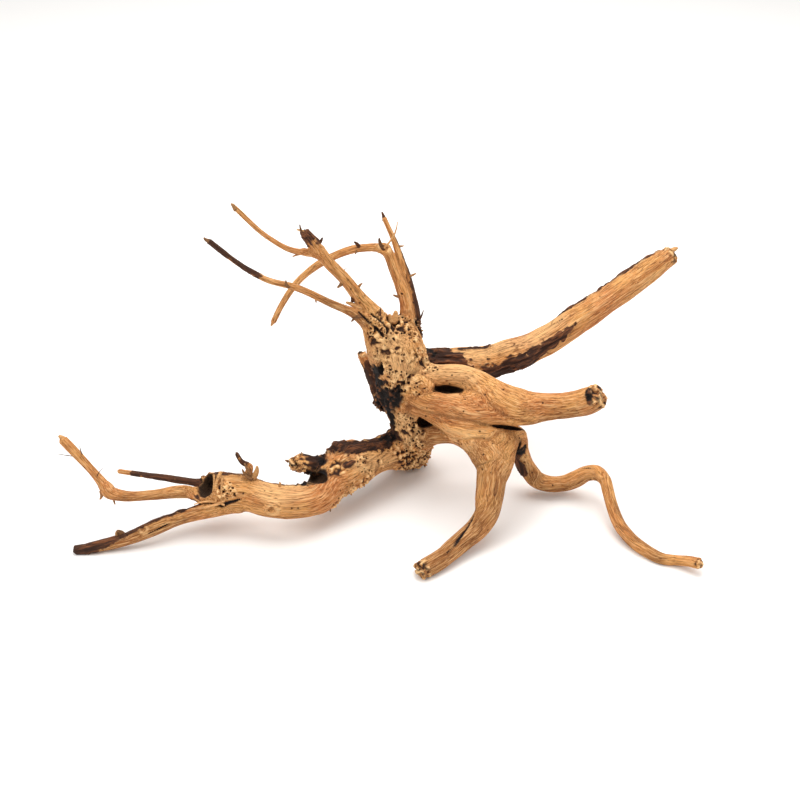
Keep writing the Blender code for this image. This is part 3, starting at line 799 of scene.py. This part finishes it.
# Black rot and painted shade, with a painted highlight in red-brown on the highest relief.
rot_and_shade_colour = layer_over(linear(ROT_AND_SHADE_BLACK), linear(BARK_RED_AND_HIGHLIGHT), share_of(relief_shading_at, 0.6, 1.1, 0.8))
base = layer_over(base, linear(PORE_BROWN_AND_PIT_SHADE), pit_shade_share)
base = layer_over(base, bark_colour, bark_and_shade_share)
base = layer_over(base, rot_and_shade_colour, rot_and_shade_share)
tree.links.new(base, shader.inputs["Base Color"])
fine = add_node(tree, "ShaderNodeMath", {0: streaks["lines"], 1: streaks["fibres"]},
                operation="ADD").outputs[0]
bump = add_node(tree, "ShaderNodeBump", {"Height": fine, "Strength": 1.0,
                                         "Distance": LINE_DEPTH}).outputs[0]
tree.links.new(bump, shader.inputs["Normal"])
shader.inputs["Roughness"].default_value = WOOD_ROUGHNESS
shader.inputs["IOR"].default_value = WOOD_IOR
shader.inputs["Specular IOR Level"].default_value = WOOD_SPECULAR
form.materials.clear()
form.materials.append(dry_wood)
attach(root_wood, "root")
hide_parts("dry_root")

# ---- Splinters and dead hair roots ---------------------------------------------------------------
# What stands off the skin: thorns of dead rootlets at the nodes of the twigs, torn fibres at the
# breaks, and a few hair roots. They are the same dry wood, some still in dark bark, and each one is
# sunk a little way into the limb that it grew from.

# Each splinter: its foot, its tip, the radius at its foot, and how dark its bark is from 0 to 1.
SPLINTERS = [
    ((-73, -31, 172), (-74, -31, 176.5), 1.3, 0.8), ((-52, -17, 196.5), (-50, -17, 200.5), 1.2, 1.0),
    ((-38.5, -14.5, 165), (-41.5, -16, 162.5), 1.5, 0.6), ((-31, -11.5, 151), (-33, -12, 156.5), 2.0, 1.0),
    ((-28, -13, 145.5), (-36, -14, 150), 1.7, 0.0), ((-28, -14, 144), (-35.5, -15, 145.5), 1.4, 0.0),
    ((-28, -10, 159), (-25, -10, 162.5), 1.1, 0.5), ((-38, -12, 171.5), (-34.5, -12, 175.5), 0.35, 0.8),
    ((-63, -18, 189.5), (-70, -18, 187), 0.9, 0.3), ((-55, -21.5, 158.5), (-55.5, -22, 154.5), 1.0, 0.6),
    ((-27, -19, 142), (-32.5, -20, 138.5), 1.4, 0.8), ((-12, 20, 173.5), (-13.8, 20, 180.5), 1.4, 0.9),
    ((-10.5, 20, 173), (-1.4, 20, 193), 0.8, 0.0), ((-28, 26, 171), (-31, 24, 175.5), 1.5, 1.0),
    ((-29.5, 26, 169), (-30.5, 24, 166), 1.0, 0.6), ((0, 26, 171), (3, 25, 172), 0.8, 0.5),
    ((8, 15, 154), (11.5, 15, 156), 0.9, 0.5), ((13, 6, 121), (16.7, 8, 130.5), 0.8, 1.0),
    ((-3.5, -4, 130), (-2.5, -4, 137), 2.6, 0.0), ((-6, -5, 130), (-7, -5, 135), 2.2, 0.1),
    ((-13, -11.5, 139), (-13, -12, 144.5), 0.7, 1.0), ((-1, 8, 141.5), (-4.5, 8, 143), 1.0, 0.5),
    ((-102, -66, 42), (-106, -66, 53), 1.5, 0.7), ((-100.5, -66, 41), (-97.5, -66, 50.5), 2.2, 0.2),
    ((-103, -68, 42), (-107.5, -68, 49.5), 1.4, 0.7),
    ((-202.5, -82, 40), (-204, -82.5, 35), 1.3, 0.5), ((-194.5, -80, 36), (-195, -80, 28.5), 1.1, 0.5),
    ((-219, -74, 65.3), (-231, -74, 67.5), 0.35, 1.0), ((-213, -76, 70), (-213, -77, 76.5), 0.35, 1.0),
    ((-204, -81, 53), (-199, -81, 60.5), 0.4, 1.0), ((-193.5, -92, 10), (-193.8, -92, 14.5), 1.1, 0.3),
    ((-154.5, -85, 17), (-154, -85, 14), 1.1, 0.5), ((-83, -71, 35), (-82, -72, 41.5), 1.3, 0.2),
    ((-124, -69, 44), (-125, -81, 30), 1.3, 0.0), ((-121.5, -70, 43), (-122, -81, 31), 1.0, 0.2),
    ((-127, -70, 43), (-129, -79, 33), 0.8, 0.1),
    ((-60, -21, 205), (-66, -22, 209), 1.2, 0.1), ((-62, -22, 205), (-64, -21, 212), 1.0, 0.9),
    ((-121, -80, 31), (-143, -81, 25.5), 1.1, 0.0), ((-123, -80, 29.5), (-141, -80, 28.5), 0.9, 0.0),
    ((-137, -77, 28), (-141, -79, 34), 0.8, 0.1), ((-190, -90.5, 9), (-193, -92, 15), 2.6, 0.8),
    ((-120, -39.7, 210), (-123, -41, 213), 1.4, 0.8),
    ((-103.5, -30, 228), (-105.5, -30.5, 231.5), 1.5, 0.5),
    ((-92, 45.5, 99), (-94.5, 47, 94), 1.8, 0.1), ((-10.5, 31.5, 189), (-12, 32.5, 194), 1.5, 1.0),
    ((-225, -71, 77), (-227.5, -71, 80.5), 2.3, 0.1), ((199, 70, 144), (203, 72, 145), 2.0, 0.1)]

SUNK = 0.2              # share of a splinter's length that is inside the wood
BOW = 0.1               # how far its middle bows, as a share of its length
SPLINTER_TONE = 0.62    # as light as a low ridge
NUBS = 110              # small stubs of hair roots over the thin limbs and the warty ridges
NUB_LENGTH = (0.8, 2.2)
THIN_LIMB = 6.5         # radius below which a limb is thin
THIN_CHANCE = 0.35      # chance of a nub on a thin limb, where a warty place has up to 1
NUB_FLOOR = 3.0         # no nub is lower than this


def splinter_skins(foot, tip, radius, bow, rings=7, around=8):
    """Round tapering splinters, all at once, ring by angle: the middle goes from a little below the
    foot to the tip, bowed by 4t(1 - t), and the radius falls as 1 - 0.6 t^1.5. A flat cap closes
    each end."""
    t = np.linspace(-SUNK, 1, rings)
    way = tip - foot
    middle = foot[:, None] + way[:, None] * t[:, None] + bow[:, None] * (4 * t * (1 - t))[:, None]
    side = unit(np.cross(way, (0.31, 0.52, 0.79)))
    up = unit(np.cross(way, side))
    turn = np.linspace(0, 2 * math.pi, around, endpoint=False)[:, None]
    ring = np.cos(turn) * side[:, None] + np.sin(turn) * up[:, None]
    width = radius[:, None] * (1 - 0.6 * np.clip(t, 0, 1)**1.5)
    points = middle[:, :, None] + ring[:, None] * width[:, :, None, None]
    own = np.arange(len(foot))[:, None, None] * rings * around
    row = own + np.arange(rings - 1)[:, None] * around
    here = row + np.arange(around)
    after = row + (np.arange(around) + 1) % around
    sides = np.stack([here, after, after + around, here + around], axis=-1).reshape(-1, 4)
    end = own[:, 0, 0][:, None] + np.arange(around)
    caps = np.vstack([end[:, ::-1], end + (rings - 1) * around])
    return points.reshape(-1, 3), sides.tolist() + caps.tolist()


foot, tip, radius, dark = (np.array(column, float) for column in zip(*SPLINTERS))
chances = random.random(len(skin)) * (skin_rough + THIN_CHANCE * (skin_thick < THIN_LIMB)) \
    * (skin[:, 2] > NUB_FLOOR)
chosen = np.argsort(-chances)[:NUBS]
lean = unit(random.normal(size=(NUBS, 3)))
nub_length = random.uniform(*NUB_LENGTH, NUBS)[:, None] * np.clip(skin_thick[chosen] / 4, 0.5, 1)[:, None]
nub_foot = skin[chosen]
foot = np.vstack([foot, nub_foot])
tip = np.vstack([tip, nub_foot + nub_length * unit(skin_normal[chosen] + 0.5 * lean)])
radius = np.concatenate([radius, 0.45 * nub_length[:, 0]])
dark = np.concatenate([dark, random.uniform(0, 1, NUBS)])
bow = BOW * np.linalg.norm(tip - foot, axis=1)[:, None] * unit(random.normal(size=foot.shape))
points, faces = splinter_skins(foot, tip, radius, bow)
mesh = new_mesh("splinters", points / 1000 + shift, faces)
points_each = len(points) // len(foot)
shade = np.repeat(dark, points_each)
nothing = np.zeros(len(points))
keep_with_points(mesh, {
    "grain": points - np.repeat(foot, points_each, axis=0),
    "marks": np.stack([shade, nothing, nothing], 1),
    "tones": np.stack([nothing + SPLINTER_TONE, nothing, nothing], 1),
    "tints": np.zeros_like(points),
})
mesh.shade_smooth()
mesh.materials.append(dry_wood)
splinters = show(mesh)
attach(splinters, "root")

# ---- Floor, light and camera ---------------------------------------------------------------------
# A plain pale floor under soft light from above and from both sides, and a camera that looks down
# on the root at about a third of a right angle.

FLOOR_REACH = 8         # half the floor's side, in lengths of the root
FLOOR_COLOUR = "#F7F5F2"
FLOOR_ROUGHNESS = 0.9
DAYLIGHT = "#FFFFFF"
DAYLIGHT_STRENGTH = 0.58
LOOKING_DOWN = math.radians(35)
LENS = 58.36            # focal length, in millimetres
SENSOR = 36
BACK_OFF = 2.083        # the camera's distance, in lengths of the root

centre = (cad_box[0] + cad_box[1]) / 2
length = cad_box[1].x - cad_box[0].x
tall = cad_box[1].z - cad_box[0].z

reach = FLOOR_REACH * length
corners = np.array([(-reach, -reach, 0), (reach, -reach, 0), (reach, reach, 0), (-reach, reach, 0)])
floor_mesh = new_mesh("floor", corners, [(0, 1, 2, 3)])
floor = show(floor_mesh)
paper, _, shader = start_material("white_paper_floor")
shader.inputs["Base Color"].default_value = linear(FLOOR_COLOUR)
shader.inputs["Roughness"].default_value = FLOOR_ROUGHNESS
floor_mesh.materials.append(paper)

world = bpy.data.worlds.new("studio")
world.use_nodes = True
background = world.node_tree.nodes["Background"]
background.inputs["Color"].default_value = linear(DAYLIGHT)
background.inputs["Strength"].default_value = DAYLIGHT_STRENGTH
bpy.context.scene.world = world


def soft_light(name, place, size, watts):
    """A square soft light at a place given in lengths of the root from its middle, aimed at it."""
    data = bpy.data.lights.new(name, "AREA")
    data.size = size * length
    data.energy = watts
    light = bpy.data.objects.new(name, data)
    light.location = centre + Vector(place) * length
    light.rotation_euler = (centre - light.location).to_track_quat("-Z", "Y").to_euler()
    bpy.context.scene.collection.objects.link(light)


soft_light("light_above", (0.1, 0.8, 2.5), 2.8, 16.5)
soft_light("light_left", (-1.9, -1.2, 2.0), 1.0, 5.0)
soft_light("light_right", (2.4, -0.2, 1.6), 1.4, 3.0)

# The camera aims a little to the right of the root's middle, at about a third of its height.
camera_data = bpy.data.cameras.new("camera")
camera_data.lens = LENS
camera_data.sensor_width = SENSOR
camera = bpy.data.objects.new("camera", camera_data)
aim = Vector((centre.x + 0.028 * length, centre.y - 0.012 * length, cad_box[0].z + 0.352 * tall))
back_off = BACK_OFF * length
camera.location = aim + back_off * Vector((0, -math.cos(LOOKING_DOWN), math.sin(LOOKING_DOWN)))
camera.rotation_euler = (math.pi / 2 - LOOKING_DOWN, 0, 0)
bpy.context.scene.collection.objects.link(camera)
bpy.context.scene.camera = camera
bpy.context.scene.view_settings.view_transform = "Standard"
